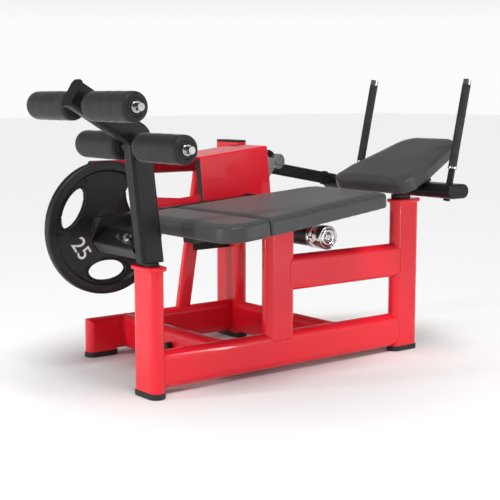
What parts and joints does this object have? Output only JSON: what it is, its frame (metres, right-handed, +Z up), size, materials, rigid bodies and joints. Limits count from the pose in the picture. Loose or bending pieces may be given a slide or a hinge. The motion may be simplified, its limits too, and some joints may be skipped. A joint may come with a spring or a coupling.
{
  "type": "leg extension machine",
  "caption": "Plate-loaded lying bench on a flat-oval tube frame, with a roller leg lever and a head-pad lever geared to move together.",
  "frame": {"origin": "centre of the footprint box, on the floor under the feet", "axes": "+X from the leg rollers to the head pad handles, +Y from the open side to the weight plate side, +Z up"},
  "size_m": [1.5252, 0.9679, 0.973],
  "materials": {
    "red_paint": "gloss",
    "black_paint": "satin",
    "black_rubber": "matte",
    "grey_vinyl": "satin",
    "board": "matte",
    "roller_foam": "matte",
    "plate_rubber": "satin",
    "chrome": "polished",
    "steel": "satin"
  },
  "bodies": {
    "frame": {"front_post": "red_paint", "main_rail": "red_paint", "mid_post": "red_paint", "upper_rail": "red_paint", "rear_post": "red_paint", "side_rail": "red_paint", "side_rail_stub": "red_paint", "corner_post": "red_paint", "front_cross_tube": "red_paint", "rear_cross_tube": "red_paint", "side_upper_rail": "red_paint", "diagonal_brace": "red_paint", "lower_tie": "black_paint", "rubber_feet": "black_rubber", "post_caps": "red_paint", "tube_end_caps": "black_paint", "rubber_stops": "black_rubber", "seat_pad_front": "grey_vinyl", "seat_pad_rear": "grey_vinyl", "seat_boards": "board", "seat_beam": "black_paint", "seat_bolts": "chrome", "pivot_plates": "black_paint", "shaft_bearings": "black_paint", "pivot_spacers": "black_paint", "mechanism_cover": "red_paint", "cover_front_stay": "black_paint", "lever_guard": "red_paint"},
    "leg_lever": {"leg_arm_lower": "black_paint", "leg_arm_upper": "black_paint", "leg_arm_caps": "black_paint", "roller_axles": "steel", "axle_nuts": "chrome", "weight_plate": "plate_rubber", "plate_horn": "black_paint", "plate_collar": "black_paint", "horn_bracket": "black_paint", "lever_bolts": "chrome", "leg_cross_tube": "black_paint", "leg_beam": "black_paint", "leg_shaft": "steel", "leg_gear": "steel"},
    "back_lever": {"back_gear": "steel", "back_shaft": "steel", "back_arm": "black_paint", "back_crossbar": "black_paint", "crossbar_caps": "black_paint", "back_arm_collar": "black_paint", "counterweight": "chrome", "counterweight_bar": "black_paint", "handle_uprights": "black_paint", "handle_grips": "black_rubber", "handle_trims": "chrome", "head_pad": "grey_vinyl", "head_pad_board": "board", "head_pad_brackets": "black_paint"},
    "upper_near_roller_body": {"upper_near_roller": "roller_foam"},
    "upper_far_roller_body": {"upper_far_roller": "roller_foam"},
    "lower_near_roller_body": {"lower_near_roller": "roller_foam"},
    "lower_far_roller_body": {"lower_far_roller": "roller_foam"}
  },
  "joints": [
    {"name": "leg_lift", "type": "hinge", "parent": "frame", "child": "leg_lever", "pos_m": [0.1282, 0.2568, 0.545], "axis": [0, 1, 0], "range_deg": [0, 45]},
    {"name": "back_lift", "type": "hinge", "parent": "frame", "child": "back_lever", "pos_m": [0.3257, 0.2568, 0.676], "axis": [0, 1, 0], "range_deg": [-35.8, 0]},
    {"name": "upper_near_roller_spin", "type": "hinge", "parent": "leg_lever", "child": "upper_near_roller_body", "pos_m": [-0.7003, -0.3472, 0.886], "axis": [0, 1, 0], "continuous": true},
    {"name": "upper_far_roller_spin", "type": "hinge", "parent": "leg_lever", "child": "upper_far_roller_body", "pos_m": [-0.7003, -0.0192, 0.886], "axis": [0, 1, 0], "continuous": true},
    {"name": "lower_near_roller_spin", "type": "hinge", "parent": "leg_lever", "child": "lower_near_roller_body", "pos_m": [-0.5363, -0.3472, 0.766], "axis": [0, 1, 0], "continuous": true},
    {"name": "lower_far_roller_spin", "type": "hinge", "parent": "leg_lever", "child": "lower_far_roller_body", "pos_m": [-0.5363, -0.0192, 0.766], "axis": [0, 1, 0], "continuous": true}
  ],
  "couplings": [
    {"joint": "back_lift", "follows": "leg_lift", "ratio": -0.79546}
  ]
}
